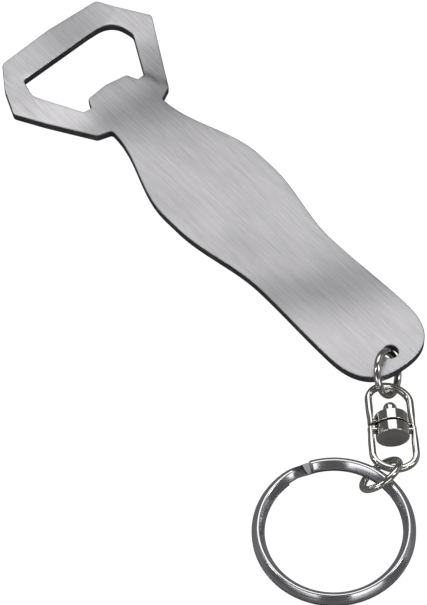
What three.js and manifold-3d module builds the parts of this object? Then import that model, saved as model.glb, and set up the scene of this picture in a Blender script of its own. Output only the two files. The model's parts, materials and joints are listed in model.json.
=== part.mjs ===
// Keychain bottle opener: a flat stamped opener, a jump ring, a riveted swivel,
// a second jump ring and a split key ring, linked one through the next.
//
// Millimetres, +Z up. The handle runs along X with the cap opening towards -X, and the
// chain lies on the table beyond the handle's round end. The origin is the middle of the
// whole object's footprint, on the table.

import * as THREE from 'three';
import { mergeVertices } from 'three/addons/utils/BufferGeometryUtils.js';
import Module from 'manifold-3d';

// ---------------------------------------------------------------- driving dimensions

// Opener plate. X is measured from the middle of the head's front edge.
const PLATE_LENGTH = 110.9;
const PLATE_THICKNESS = 1.8;
const PLATE_SLOPE_DEG = 2.25;     // the tail lies up on its jump ring, the head on the table
const FRONT_WIDTH = 25.3;         // straight front edge of the head
const FRONT_SKEW = 1.3;           // how far its left end sits behind its right end
const HEAD_WIDTH = 38;            // across the two side corners
const SIDE_CORNER_LEFT = 13.6;    // distance of each side corner behind the front edge
const SIDE_CORNER_RIGHT = 10.7;
const HEAD_LENGTH = 29;           // front edge to the two back corners
const BACK_CORNER_WIDTH = 19;
const NECK_WIDTH = 13;
const NECK_STEP = 0.9;            // back corners to where the handle starts
const BELLY_WIDTH = 24.2;
const BELLY_START = 54;
const BELLY_END = 57.6;
const WAIST_WIDTH = 18.4;
const WAIST_PLACE = 79.4;
const TAIL_WIDTH = 19.5;
const TAIL_CAP = 11.4;            // length of the rounded tail end
const TAIL_SQUARENESS = 2.6;      // 2 is an ellipse, more is squarer

// Cap opening and lifting tongue
const FRONT_BAR = 6.2;            // material between the front edge and the opening
const OPENING_FRONT_WIDTH = 22;
const OPENING_WIDTH = 26;
const OPENING_SIDE = 12;          // where the opening is widest, behind the front edge
const OPENING_LENGTH = 16.3;      // front bar to the bottom of the notches
const NOTCH_WIDTH = 15.6;         // across the outer corners of the two notches
const NOTCH_FLOOR = 1.8;          // width of each notch's bottom
const TONGUE_LENGTH = 2.4;        // tongue corners above the notch bottoms
const TONGUE_WIDTH = 9.9;
const TONGUE_CROWN = 0.7;         // how far the tip bows out beyond its corners

// Tail hole
const HOLE_DIAMETER = 3;
const HOLE_TO_TAIL = 4;           // hole centre to the end of the plate

// Jump rings: round wire, cut once
const UPPER_RING_RADIUS = 4.13;   // to the middle of the wire
const UPPER_RING_WIRE = 1.4;
const LOWER_RING_RADIUS = 4.05;
const LOWER_RING_WIRE = 1.36;
const CUT_GAP = 0.25;

// Swivel: two bails held back to back by a headed pin, each with a pressed-on collar
const BAIL_WIRE_WIDTH = 1.3;      // seen in the bail's own plane
const BAIL_WIRE_DEPTH = 1.5;
const BAIL_LENGTH = 9.1;          // split plane to the middle of the wire at the arch
const ARCH_HEIGHT = 3.4;
const COLLAR_DIAMETER = 6.3;
const COLLAR_WALL = 0.45;
const COLLAR_CHAMFER = 0.15;
const STRAP_THICKNESS = 0.6;      // flattened wire ends that lap around the pin
const STRAP_WIDTH = 1.7;
const EYE_DIAMETER = 3.4;
const PIN_DIAMETER = 1.2;
const PIN_DOME_DIAMETER = 2.6;
const PIN_DOME_HEIGHT = 1.3;
const PIN_HEAD_SIDE = 1.4;         // straight part of the head under its dome
const PIN_TAIL_DIAMETER = 2.6;
const PIN_TAIL_THICKNESS = 0.25;
const SWIVEL_PLAY = 0.35;         // free gap between the two halves

// Split key ring: one strip wound twice
const KEY_RING_DIAMETER = 30;
const KEY_WIRE_WIDTH = 2.4;
const KEY_WIRE_HEIGHT = 1.6;
const KEY_RIDGE_WIDTH = 0.4;       // flat ridge along the top and bottom of the pair
const KEY_EDGE_HEIGHT = 0.35;      // upright edge where a coil's slopes end
const COIL_GAP = 0.2;
const CROSSOVER_DEG = 14;         // stretch where the wire climbs from one coil to the other
const CROSSOVER_PLACE_DEG = 245;  // round the ring from the side away from the jump ring
const END_GAP_DEG = 2.5;

// Clearances
const LINK_CLEARANCE = 0.28;      // between hooked wires, and wire to hole wall
const FIT_CLEARANCE = 0.3;        // between pieces that are pressed or riveted together

// How the loose chain lies: directions in degrees, headings counted from +X towards +Y
const UPPER_RING_HEADING = 34.4;  // of the ring's normal
const UPPER_RING_LEAN = 26.8;     // of the normal above the table
const UPPER_RING_HOLE_ANGLE = 9;  // of the wire in the hole, around the ring from level
const UPPER_RING_BAIL_ANGLE = -146;
const WIRE_IN_HOLE_HEADING = 84;  // side of the hole that the wire lies towards
const SWIVEL_HEADING = -36.3;     // from the upper bail to the lower
const UPPER_BAIL_ROLL = 14;
const LOWER_BAIL_ROLL = 5;
const LOWER_RING_HEADING = 13;
const LOWER_RING_LEAN = -42.6;
const LOWER_RING_BAIL_ANGLE = 11.7;
const LOWER_RING_BAIL_EXTRA = 0.6;   // the arch crosses this ring aslant, so it hangs lower
const LOWER_RING_SIDE_SHIFT = 1.28;
const LOWER_RING_CUT_ANGLE = 60;
const UPPER_RING_CUT_ANGLE = -28;
const KEY_RING_HEADING = -77.5;   // from the jump ring to the key ring's centre
const KEY_RING_SLOPE = 4.15;      // the far side rests on the table
const KEY_RING_ANGLE = 178;
const KEY_RING_SLACK = 0.48;      // share of the lower ring's spare room that the key ring leaves

// Finishes
const BRUSHED_STEEL = { color: 0xb9bbbf, roughness: 0.42, metalness: 1 };
const NICKEL_PLATE = { color: 0xa9a7a0, roughness: 0.16, metalness: 1 };
const POLISHED_STEEL = { color: 0xc3c4c6, roughness: 0.2, metalness: 1 };

// ---------------------------------------------------------------- solids

const wasm = await Module();
wasm.setup();

/** A closed three.js geometry as a solid that can be joined and cut. */
function toSolid(geometry, matrix = new THREE.Matrix4()) {
  const bare = geometry.clone().applyMatrix4(matrix);
  bare.deleteAttribute('normal');
  bare.deleteAttribute('uv');
  const merged = mergeVertices(bare, 1e-5);
  return new wasm.Manifold(new wasm.Mesh({
    numProp: 3,
    vertProperties: Float32Array.from(merged.attributes.position.array),
    triVerts: Uint32Array.from(merged.index.array),
  }));
}

function toGeometry(solid) {
  const mesh = solid.getMesh();
  const geometry = new THREE.BufferGeometry();
  geometry.setAttribute('position', new THREE.BufferAttribute(mesh.vertProperties.slice(), 3));
  geometry.setIndex(new THREE.BufferAttribute(mesh.triVerts.slice(), 1));
  geometry.computeVertexNormals();
  return geometry;
}

function turned(profile, sides = 40) {
  const points = profile.map(([radius, height]) => new THREE.Vector2(radius, height));
  const geometry = new THREE.LatheGeometry(points, sides);
  return geometry.rotateX(Math.PI / 2);     // turned about Z
}

function cylinder(radius, low, high, sides = 40) {
  return turned([[0, low], [radius, low], [radius, high], [0, high]], sides);
}

function moved(x, y, z) {
  return new THREE.Matrix4().makeTranslation(x, y, z);
}

// ---------------------------------------------------------------- outlines

const neckStart = HEAD_LENGTH + NECK_STEP;

/** Points of a closed outline whose corners are rounded to their own radii, 0 for a plain point. */
function roundedOutline(corners) {
  const degreesPerStep = 14;
  const points = [];
  corners.forEach((corner, index) => {
    const here = new THREE.Vector2(corner.x, corner.y);
    if (corner.r === 0) {
      points.push(here);
      return;
    }
    const before = corners[(index + corners.length - 1) % corners.length];
    const after = corners[(index + 1) % corners.length];
    const back = new THREE.Vector2(before.x, before.y).sub(here).normalize();
    const ahead = new THREE.Vector2(after.x, after.y).sub(here).normalize();
    const half = Math.acos(THREE.MathUtils.clamp(back.dot(ahead), -1, 1)) / 2;
    const reach = corner.r / Math.tan(half);
    const bend = 180 - THREE.MathUtils.radToDeg(2 * half);
    const start = back.clone().multiplyScalar(reach).add(here);
    const end = ahead.clone().multiplyScalar(reach).add(here);
    const curve = new THREE.QuadraticBezierCurve(start, here, end);
    points.push(...curve.getPoints(Math.ceil(bend / degreesPerStep)));
  });
  return points;
}

/** Half the handle's width at a distance x behind the head's front edge. */
function handleHalfWidth(x) {
  const ease = (from, to, low, high) => {
    const share = THREE.MathUtils.clamp((x - from) / (to - from), 0, 1);
    return low + (high - low) * (1 - Math.cos(Math.PI * share)) / 2;
  };
  const capStart = PLATE_LENGTH - TAIL_CAP;
  if (x <= BELLY_END) return ease(neckStart, BELLY_START, NECK_WIDTH, BELLY_WIDTH) / 2;
  if (x <= WAIST_PLACE) return ease(BELLY_END, WAIST_PLACE, BELLY_WIDTH, WAIST_WIDTH) / 2;
  if (x <= capStart) return ease(WAIST_PLACE, capStart, WAIST_WIDTH, TAIL_WIDTH) / 2;
  const along = Math.min((x - capStart) / TAIL_CAP, 1);
  return TAIL_WIDTH / 2 * (1 - along ** TAIL_SQUARENESS) ** (1 / TAIL_SQUARENESS);
}

function handleEdge() {
  const capStart = PLATE_LENGTH - TAIL_CAP;
  const edge = [];
  const sideSteps = 44;
  for (let step = 1; step < sideSteps; step += 1) {
    const x = neckStart + (capStart - neckStart) * step / sideSteps;
    edge.push(new THREE.Vector2(x, handleHalfWidth(x)));
  }
  const capSteps = 14;
  for (let step = 0; step <= capSteps; step += 1) {
    const turn = Math.PI / 2 * step / capSteps;
    const x = capStart + TAIL_CAP * Math.sin(turn) ** (2 / TAIL_SQUARENESS);
    const y = TAIL_WIDTH / 2 * Math.max(Math.cos(turn), 0) ** (2 / TAIL_SQUARENESS);
    edge.push(new THREE.Vector2(x, step === capSteps ? 0 : y));
  }
  return edge;
}

function headCorners() {
  const joinX = neckStart + 1;
  const joinY = handleHalfWidth(joinX);
  const front = FRONT_WIDTH / 2;
  const side = HEAD_WIDTH / 2;
  const back = BACK_CORNER_WIDTH / 2;
  const leftSide = { x: SIDE_CORNER_LEFT, y: -side, r: 1.2 };
  const rightSide = { x: SIDE_CORNER_RIGHT, y: side, r: 1.2 };
  const leftFront = { x: FRONT_SKEW, y: -front, r: 1.6 };
  const bulge = 0.6;                // the left flank bows out a little
  return [
    { x: joinX, y: -joinY, r: 0 },
    { x: neckStart, y: -NECK_WIDTH / 2, r: 0.6 },
    { x: HEAD_LENGTH, y: -back, r: 1 },
    leftSide,
    {
      x: (leftSide.x + leftFront.x) / 2 - bulge / 2,
      y: (leftSide.y + leftFront.y) / 2 - bulge,
      r: 3,
    },
    leftFront,
    { x: 0, y: 0, r: 6 },
    { x: 0, y: front, r: 1.2 },
    rightSide,
    { x: HEAD_LENGTH - 0.8, y: back, r: 1 },
    { x: neckStart, y: NECK_WIDTH / 2, r: 0.6 },
    { x: joinX, y: joinY, r: 0 },
  ];
}

function openingCorners() {
  const notchBottom = FRONT_BAR + OPENING_LENGTH;
  const tongueRoot = notchBottom - TONGUE_LENGTH;
  const outer = NOTCH_WIDTH / 2;
  const inner = outer - NOTCH_FLOOR;
  const side = OPENING_WIDTH / 2;
  const front = OPENING_FRONT_WIDTH / 2;
  return [
    { x: FRONT_BAR + FRONT_SKEW, y: -front - 0.9, r: 1.1 },
    { x: OPENING_SIDE, y: -side, r: 2.6 },
    { x: notchBottom - 0.2, y: -outer, r: 0.45 },
    { x: notchBottom, y: -inner, r: 0.45 },
    { x: tongueRoot, y: -TONGUE_WIDTH / 2, r: 0.6 },
    { x: tongueRoot - TONGUE_CROWN, y: 0, r: 3 },
    { x: tongueRoot, y: TONGUE_WIDTH / 2, r: 0.6 },
    { x: notchBottom, y: inner, r: 0.45 },
    { x: notchBottom - 0.2, y: outer, r: 0.45 },
    { x: OPENING_SIDE, y: side, r: 2.6 },
    { x: FRONT_BAR - 0.1, y: front + 0.9, r: 4.6 },
    { x: FRONT_BAR, y: front / 2, r: 1.5 },
  ];
}

const holeX = PLATE_LENGTH - HOLE_TO_TAIL;

function openerPlateGeometry() {
  const rightEdge = handleEdge();
  const leftEdge = rightEdge.slice(0, -1).reverse().map(({ x, y }) => new THREE.Vector2(x, -y));
  const head = roundedOutline(headCorners());
  const shape = new THREE.Shape([...rightEdge, ...leftEdge, ...head].reverse());
  shape.holes.push(new THREE.Path(roundedOutline(openingCorners())));
  const hole = new THREE.Path();
  hole.absarc(holeX, 0, HOLE_DIAMETER / 2, 0, 2 * Math.PI, true);
  shape.holes.push(hole);
  return new THREE.ExtrudeGeometry(shape, {
    depth: PLATE_THICKNESS, bevelEnabled: false, curveSegments: 18,
  });
}

// ---------------------------------------------------------------- wires and rings

/** A path given by a formula from a share of 0 to 1 to a point. */
class FormulaCurve extends THREE.Curve {
  constructor(formula) {
    super();
    this.formula = formula;
  }

  getPoint(share, target = new THREE.Vector3()) {
    return target.copy(this.formula(share));
  }
}

function ellipseShape(width, height, sides) {
  const points = [];
  for (let side = 0; side < sides; side += 1) {
    const turn = 2 * Math.PI * side / sides;
    points.push(new THREE.Vector2(width / 2 * Math.cos(turn), height / 2 * Math.sin(turn)));
  }
  return new THREE.Shape(points);
}

function jumpRingGeometry(radius, wire, cutAngleDeg) {
  const cut = THREE.MathUtils.degToRad(cutAngleDeg);
  const halfGap = (CUT_GAP / 2) / radius;
  const path = new FormulaCurve((share) => {
    const turn = cut + halfGap + (2 * Math.PI - 2 * halfGap) * share;
    return new THREE.Vector3(radius * Math.cos(turn), radius * Math.sin(turn), 0);
  });
  return new THREE.ExtrudeGeometry(ellipseShape(wire, wire, 12), { steps: 48, extrudePath: path });
}

/**
 * Corners of the key ring's strip. A coil has one wide flat face, where the two coils meet,
 * and two slopes up to a narrow ridge. rise is 0 on the lower coil, 1 on the upper, and
 * between them the section turns from ridge down to ridge up.
 */
function keyWireSection(rise) {
  const half = KEY_WIRE_WIDTH / 2;
  const ridge = KEY_RIDGE_WIDTH / 2;
  const top = KEY_WIRE_HEIGHT / 2;
  const edge = top - KEY_EDGE_HEIGHT;
  const lower = [[-ridge, -top], [ridge, -top], [half, edge], [half, top], [-half, top], [-half, edge]];
  const upper = [[-half, -top], [half, -top], [half, -edge], [ridge, top], [-ridge, top], [-half, -edge]];
  return lower.map(([across, up], corner) => [
    THREE.MathUtils.lerp(across, upper[corner][0], rise),
    THREE.MathUtils.lerp(up, upper[corner][1], rise),
  ]);
}

/** Places along the strip: once round below, up the crossover, once round above. */
function keyRingStations() {
  const climbSweep = THREE.MathUtils.degToRad(CROSSOVER_DEG);
  const coilSweep = 2 * Math.PI - climbSweep - THREE.MathUtils.degToRad(2 * END_GAP_DEG);
  const start = THREE.MathUtils.degToRad(CROSSOVER_PLACE_DEG + CROSSOVER_DEG / 2 + 2 * END_GAP_DEG);
  const coilSteps = 56;
  const climbSteps = 6;
  const stations = [];
  for (let step = 0; step <= coilSteps; step += 1) {
    stations.push({ turn: start + coilSweep * step / coilSteps, rise: 0 });
  }
  for (let step = 1; step < climbSteps; step += 1) {
    const share = step / climbSteps;
    const turn = start + coilSweep + climbSweep * share;
    stations.push({ turn, rise: (1 - Math.cos(Math.PI * share)) / 2 });
  }
  for (let step = 0; step <= coilSteps; step += 1) {
    stations.push({ turn: start + coilSweep + climbSweep + coilSweep * step / coilSteps, rise: 1 });
  }
  return stations;
}

function keyRingGeometry() {
  const radius = (KEY_RING_DIAMETER - KEY_WIRE_WIDTH) / 2;
  const lift = (KEY_WIRE_HEIGHT + COIL_GAP) / 2;
  const stations = keyRingStations();
  const sides = keyWireSection(0).length;
  const positions = stations.flatMap(({ turn, rise }) => keyWireSection(rise).flatMap(([across, up]) => {
    const reach = radius + across;
    return [reach * Math.cos(turn), reach * Math.sin(turn), up + lift * (2 * rise - 1)];
  }));
  const faces = [];
  for (let station = 0; station < stations.length - 1; station += 1) {
    for (let side = 0; side < sides; side += 1) {
      const here = station * sides + side;
      const beside = station * sides + (side + 1) % sides;
      faces.push(here, here + sides, beside, beside, here + sides, beside + sides);
    }
  }
  const last = (stations.length - 1) * sides;
  for (let side = 1; side < sides - 1; side += 1) {
    faces.push(0, side, side + 1);
    faces.push(last, last + side + 1, last + side);
  }
  const geometry = new THREE.BufferGeometry();
  geometry.setAttribute('position', new THREE.Float32BufferAttribute(positions, 3));
  geometry.setIndex(faces);
  geometry.computeVertexNormals();
  return geometry;
}

// ---------------------------------------------------------------- swivel
// Each half is made pointing up +Z from the split plane between the halves, with the
// bail's plane along X.

const collarRadius = COLLAR_DIAMETER / 2;
const collarBore = collarRadius - COLLAR_WALL;
const splitGap = SWIVEL_PLAY / 2;
const strapStart = splitGap + FIT_CLEARANCE;
const strapEnd = strapStart + STRAP_THICKNESS;
const tailStart = strapEnd + FIT_CLEARANCE;
const collarFloor = tailStart + PIN_TAIL_THICKNESS + FIT_CLEARANCE;
const collarEnd = collarFloor + COLLAR_WALL;
const pinHoleRadius = PIN_DIAMETER / 2 + FIT_CLEARANCE;
const bailHalfWidth = collarRadius + FIT_CLEARANCE + BAIL_WIRE_WIDTH / 2;

/** U of half-round wire, with a flattened strap across its ends and an eye for the pin. */
function bailGeometry() {
  const straight = BAIL_LENGTH - ARCH_HEIGHT - splitGap;
  const legShare = 0.25;            // of the path, for each straight leg
  const path = new FormulaCurve((share) => {
    const side = share < 0.5 ? 1 : -1;
    const fromEnd = Math.min(share, 1 - share);
    if (fromEnd < legShare) {
      return new THREE.Vector3(side * bailHalfWidth, 0, splitGap + straight * fromEnd / legShare);
    }
    const turn = Math.PI * (share - legShare) / (1 - 2 * legShare);
    const height = splitGap + straight + ARCH_HEIGHT * Math.sin(turn);
    return new THREE.Vector3(bailHalfWidth * Math.cos(turn), 0, height);
  });
  const wire = new THREE.ExtrudeGeometry(
    ellipseShape(BAIL_WIRE_WIDTH, BAIL_WIRE_DEPTH, 12),
    { steps: 40, extrudePath: path },
  );
  const strap = new THREE.BoxGeometry(2 * bailHalfWidth, STRAP_WIDTH, STRAP_THICKNESS);
  const middle = moved(0, 0, (strapStart + strapEnd) / 2);
  const eye = cylinder(EYE_DIAMETER / 2, strapStart, strapEnd, 32);
  const bore = cylinder(pinHoleRadius, 0, 2 * strapEnd, 32);
  const solid = toSolid(wire).add(toSolid(strap, middle)).add(toSolid(eye)).subtract(toSolid(bore));
  return toGeometry(solid);
}

/** Cup pressed over the strap, open towards the other half, slotted where the strap enters. */
function collarGeometry(holed) {
  const cup = toSolid(turned([
    [0, collarFloor], [collarBore, collarFloor], [collarBore, splitGap], [collarRadius, splitGap],
    [collarRadius, collarEnd - COLLAR_CHAMFER], [collarRadius - COLLAR_CHAMFER, collarEnd],
    [0, collarEnd],
  ]));
  const slotTop = strapEnd + FIT_CLEARANCE;
  const slotWidth = STRAP_WIDTH + 2 * FIT_CLEARANCE;
  const slot = new THREE.BoxGeometry(2 * COLLAR_DIAMETER, slotWidth, 2 * slotTop);
  let solid = cup.subtract(toSolid(slot));
  if (holed) solid = solid.subtract(toSolid(cylinder(pinHoleRadius, 0, 2 * collarEnd, 32)));
  return toGeometry(solid);
}

/** Pin with a domed head outside the upper collar and a flat tail inside the lower one. */
function pinGeometry() {
  const underHead = collarEnd + FIT_CLEARANCE;
  const radius = PIN_DIAMETER / 2;
  const tailRadius = PIN_TAIL_DIAMETER / 2;
  const tailTop = -tailStart;
  const tailBottom = tailTop - PIN_TAIL_THICKNESS;
  const domeBase = underHead + PIN_HEAD_SIDE;
  const profile = [
    [0, tailBottom], [tailRadius, tailBottom], [tailRadius, tailTop], [radius, tailTop],
    [radius, underHead], [PIN_DOME_DIAMETER / 2, underHead], [PIN_DOME_DIAMETER / 2, domeBase],
  ];
  const domeSteps = 5;
  for (let step = 1; step <= domeSteps; step += 1) {
    const turn = Math.PI / 2 * step / domeSteps;
    const across = step === domeSteps ? 0 : PIN_DOME_DIAMETER / 2 * Math.cos(turn);
    profile.push([across, domeBase + PIN_DOME_HEIGHT * Math.sin(turn)]);
  }
  return turned(profile, 32);
}

// ---------------------------------------------------------------- how the pieces lie

const up = new THREE.Vector3(0, 0, 1);

/** Unit vector with a heading in the table's plane and a slope above it, in degrees. */
function direction(heading, slope = 0) {
  const turn = THREE.MathUtils.degToRad(heading);
  const lean = THREE.MathUtils.degToRad(slope);
  return new THREE.Vector3(
    Math.cos(lean) * Math.cos(turn),
    Math.cos(lean) * Math.sin(turn),
    Math.sin(lean),
  );
}

/** A frame with its Z along a direction and its X level. */
function levelFrame(normal) {
  const level = new THREE.Vector3().crossVectors(up, normal).normalize();
  const steep = new THREE.Vector3().crossVectors(normal, level);
  return { level, steep, normal };
}

/** The point of a ring's plane at an angle from level, at a distance from its centre. */
function around({ level, steep }, angle, distance) {
  const turn = THREE.MathUtils.degToRad(angle);
  return level.clone().multiplyScalar(distance * Math.cos(turn))
    .addScaledVector(steep, distance * Math.sin(turn));
}

function placed(name, geometry, finish, matrix) {
  const mesh = new THREE.Mesh(geometry, new THREE.MeshStandardMaterial(finish));
  mesh.name = name;
  matrix.decompose(mesh.position, mesh.quaternion, mesh.scale);
  return mesh;
}

function pose(frame, origin) {
  return new THREE.Matrix4().makeBasis(frame.level, frame.steep, frame.normal).setPosition(origin);
}

// The plate slopes up from the head's front edge.
const slope = THREE.MathUtils.degToRad(PLATE_SLOPE_DEG);
const platePose = new THREE.Matrix4().makeRotationY(-slope);
const holeMiddle = new THREE.Vector3(holeX, 0, PLATE_THICKNESS / 2).applyMatrix4(platePose);

// The upper ring's wire runs aslant through the hole, so it sits only a little off its middle.
const upperWire = UPPER_RING_WIRE / 2;
const upperFrame = levelFrame(direction(UPPER_RING_HEADING, UPPER_RING_LEAN));
const wireOffset = (HOLE_DIAMETER / 2 - upperWire - LINK_CLEARANCE) / 2;
const wireInHole = direction(WIRE_IN_HOLE_HEADING).multiplyScalar(wireOffset)
  .applyMatrix4(platePose).add(holeMiddle);
const upperCentre = wireInHole.clone()
  .sub(around(upperFrame, UPPER_RING_HOLE_ANGLE, UPPER_RING_RADIUS));

// The upper bail's arch hooks through the upper ring.
const bailWire = BAIL_WIRE_WIDTH / 2;
const hookReach = UPPER_RING_RADIUS - upperWire - bailWire - LINK_CLEARANCE;
const upperArch = upperCentre.clone().add(around(upperFrame, UPPER_RING_BAIL_ANGLE, hookReach));
const downChain = direction(SWIVEL_HEADING);
const splitPlane = upperArch.clone().addScaledVector(downChain, BAIL_LENGTH);
const lowerArch = splitPlane.clone().addScaledVector(downChain, BAIL_LENGTH);

/** A swivel half's frame: Z along its own bail, X across it, rolled about the swivel's axis. */
function halfPose(along, roll) {
  const across = direction(SWIVEL_HEADING + 90);
  const rolled = across.clone().applyAxisAngle(downChain, THREE.MathUtils.degToRad(-roll));
  const third = new THREE.Vector3().crossVectors(along, rolled);
  return new THREE.Matrix4().makeBasis(rolled, third, along).setPosition(splitPlane);
}

const upperHalf = halfPose(downChain.clone().negate(), UPPER_BAIL_ROLL);
const lowerHalf = halfPose(downChain, LOWER_BAIL_ROLL);

// The lower ring hangs on the lower bail's arch.
const lowerWire = LOWER_RING_WIRE / 2;
const lowerFrame = levelFrame(direction(LOWER_RING_HEADING, LOWER_RING_LEAN));
const lowerReach = LOWER_RING_RADIUS - lowerWire - bailWire - LINK_CLEARANCE + LOWER_RING_BAIL_EXTRA;
const lowerCentre = lowerArch.clone()
  .sub(around(lowerFrame, LOWER_RING_BAIL_ANGLE, lowerReach))
  .addScaledVector(lowerFrame.normal, -LOWER_RING_SIDE_SHIFT);

// The key ring runs through the lower ring and slopes down to the table beyond it.
const ringBore = LOWER_RING_RADIUS - lowerWire - LINK_CLEARANCE;
const spareRoom = 2 * ringBore - BAIL_WIRE_WIDTH - KEY_WIRE_WIDTH;
const keyReach = ringBore - KEY_WIRE_WIDTH / 2 - KEY_RING_SLACK * spareRoom;
const keyHook = lowerCentre.clone().add(around(lowerFrame, KEY_RING_ANGLE, keyReach));
const keyDown = direction(KEY_RING_HEADING, -KEY_RING_SLOPE);
const keyCentre = keyHook.clone()
  .addScaledVector(keyDown, (KEY_RING_DIAMETER - KEY_WIRE_WIDTH) / 2);
const keyAcross = direction(KEY_RING_HEADING + 90);
const keyFrame = {
  level: keyDown.clone(),
  steep: keyAcross,
  normal: new THREE.Vector3().crossVectors(keyDown, keyAcross),
};

const opener = new THREE.Group();
opener.add(placed('opener_plate', openerPlateGeometry(), BRUSHED_STEEL, platePose));
opener.add(placed(
  'upper_jump_ring',
  jumpRingGeometry(UPPER_RING_RADIUS, UPPER_RING_WIRE, UPPER_RING_CUT_ANGLE),
  NICKEL_PLATE,
  pose(upperFrame, upperCentre),
));
opener.add(placed('upper_bail', bailGeometry(), NICKEL_PLATE, upperHalf));
opener.add(placed('upper_collar', collarGeometry(true), NICKEL_PLATE, upperHalf));
opener.add(placed('swivel_pin', pinGeometry(), NICKEL_PLATE, upperHalf));
opener.add(placed('lower_collar', collarGeometry(false), NICKEL_PLATE, lowerHalf));
opener.add(placed('lower_bail', bailGeometry(), NICKEL_PLATE, lowerHalf));
opener.add(placed(
  'lower_jump_ring',
  jumpRingGeometry(LOWER_RING_RADIUS, LOWER_RING_WIRE, LOWER_RING_CUT_ANGLE),
  NICKEL_PLATE,
  pose(lowerFrame, lowerCentre),
));
opener.add(placed('split_key_ring', keyRingGeometry(), POLISHED_STEEL, pose(keyFrame, keyCentre)));

// Put the origin under the middle of the whole object's box, on the table.
opener.updateMatrixWorld(true);
const box = new THREE.Box3().setFromObject(opener, true);
const middle = box.getCenter(new THREE.Vector3());
opener.position.set(-middle.x, -middle.y, -box.min.z);
opener.updateMatrixWorld(true);

export default opener;
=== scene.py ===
# %% [markdown]
# # A keychain bottle opener
# A flat opener stamped from one steel sheet hangs on a short chain: a jump ring, a swivel with
# two wire bails, a second jump ring and a split key ring. Every piece below is a surface
# worked out with numpy, either a profile carried along a path or a sheet inside an outline,
# because all of the real pieces are made that way: stamped, drawn, bent or turned.

import json

import bmesh
import bpy
import numpy as np
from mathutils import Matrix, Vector
from mathutils.geometry import delaunay_2d_cdt


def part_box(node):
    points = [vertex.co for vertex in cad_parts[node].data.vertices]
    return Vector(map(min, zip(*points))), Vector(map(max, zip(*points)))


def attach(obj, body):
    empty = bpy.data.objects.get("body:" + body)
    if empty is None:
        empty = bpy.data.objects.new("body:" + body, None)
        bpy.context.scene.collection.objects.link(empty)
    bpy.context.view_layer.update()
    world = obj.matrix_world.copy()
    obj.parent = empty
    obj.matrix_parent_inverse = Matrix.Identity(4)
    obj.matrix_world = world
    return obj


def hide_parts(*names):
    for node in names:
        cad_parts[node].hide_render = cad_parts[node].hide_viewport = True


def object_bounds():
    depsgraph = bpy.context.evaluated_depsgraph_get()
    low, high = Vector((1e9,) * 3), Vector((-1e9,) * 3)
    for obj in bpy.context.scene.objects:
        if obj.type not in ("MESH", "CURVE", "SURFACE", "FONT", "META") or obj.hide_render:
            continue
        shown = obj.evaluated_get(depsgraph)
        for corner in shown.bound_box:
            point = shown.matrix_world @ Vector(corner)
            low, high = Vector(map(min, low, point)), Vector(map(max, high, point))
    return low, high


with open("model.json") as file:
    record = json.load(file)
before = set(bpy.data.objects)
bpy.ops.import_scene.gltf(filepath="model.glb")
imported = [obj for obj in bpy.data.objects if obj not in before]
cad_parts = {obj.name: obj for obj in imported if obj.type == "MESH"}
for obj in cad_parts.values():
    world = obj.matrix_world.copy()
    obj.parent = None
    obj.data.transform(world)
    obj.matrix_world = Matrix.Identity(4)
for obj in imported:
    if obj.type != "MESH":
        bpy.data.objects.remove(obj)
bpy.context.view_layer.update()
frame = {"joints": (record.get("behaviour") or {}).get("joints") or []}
MM = 0.001
SHARP = np.radians(40)  # edges that turn by more than this are shaded as creases
WELD = 2e-6


# %% [markdown]
# ## Where things are
# The frame's joints hold the places that matter: the middle of the tail hole, the split
# between the two halves of the swivel, and the points where the wires hook together. The
# helpers read those, so that no piece needs fitting by eye.

# %% Directions and joints
def unit(vector):
    """The vector divided by its own length."""
    return np.asarray(vector, float) / np.linalg.norm(vector)


def joint(name):
    """(point in metres, unit axis) of one of the frame's joints."""
    found = next(j for j in frame["joints"] if j["name"] == name)
    return np.array(found["pos_m"], float), unit(found["axis"])


def direction(heading, slope=0.0):
    """Unit vector at a heading from +X towards +Y and a slope above the table, in degrees."""
    turn, lean = np.radians(heading), np.radians(slope)
    return np.array([np.cos(lean) * np.cos(turn), np.cos(lean) * np.sin(turn), np.sin(lean)])


def middle(node):
    """Middle of a CAD node's box."""
    low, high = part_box(node)
    return (np.array(low) + np.array(high)) / 2


UP = np.array([0.0, 0.0, 1.0])
hole_middle, plate_up = joint("upper_ring_swing")
plate_along = unit(np.cross([0, 1, 0], plate_up))
split_middle, down_chain = joint("swivel_spin")
print("tail hole at", hole_middle.round(4), "and swivel split at", split_middle.round(4))


# %% [markdown]
# ## Mesh helpers
# A grid of points is the plainest way to hold a surface: one index runs along it and the
# other around it. The faces then follow from the indices alone, so one helper can join any
# grid, closed or open in either direction.

# %% Grids of points
def grid_faces(rows, columns, close_rows=False):
    """Four-sided faces of a grid of rows x columns points, numbered row by row. The last
    column always joins the first, and the last row joins the first if close_rows is set."""
    row = np.arange(rows if close_rows else rows - 1)
    r, c = np.meshgrid(row, np.arange(columns), indexing="ij")
    r_next, c_next = (r + 1) % rows, (c + 1) % columns
    quads = np.stack([r * columns + c, r_next * columns + c,
                      r_next * columns + c_next, r * columns + c_next], axis=-1)
    return quads.reshape(-1, 4)


def end_caps(rows, columns):
    """One many-sided face on the first row of a grid and one on its last."""
    last = (rows - 1) * columns
    return [np.arange(columns), np.arange(last + columns - 1, last - 1, -1)]


def welded(name, mesh):
    """Joins points that lie on each other, and turns every face outwards."""
    work = bmesh.new()
    work.from_mesh(mesh)
    bmesh.ops.remove_doubles(work, verts=work.verts, dist=WELD)
    bmesh.ops.recalc_face_normals(work, faces=work.faces)
    for edge in work.edges:
        edge.smooth = bool(edge.calc_face_angle(0) < SHARP)
    open_edges = sum(not edge.is_manifold for edge in work.edges)
    print(f"{name}: {open_edges} open edges, volume {work.calc_volume(signed=True) * 1e9:.1f} mm3")
    work.to_mesh(mesh)
    work.free()


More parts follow.
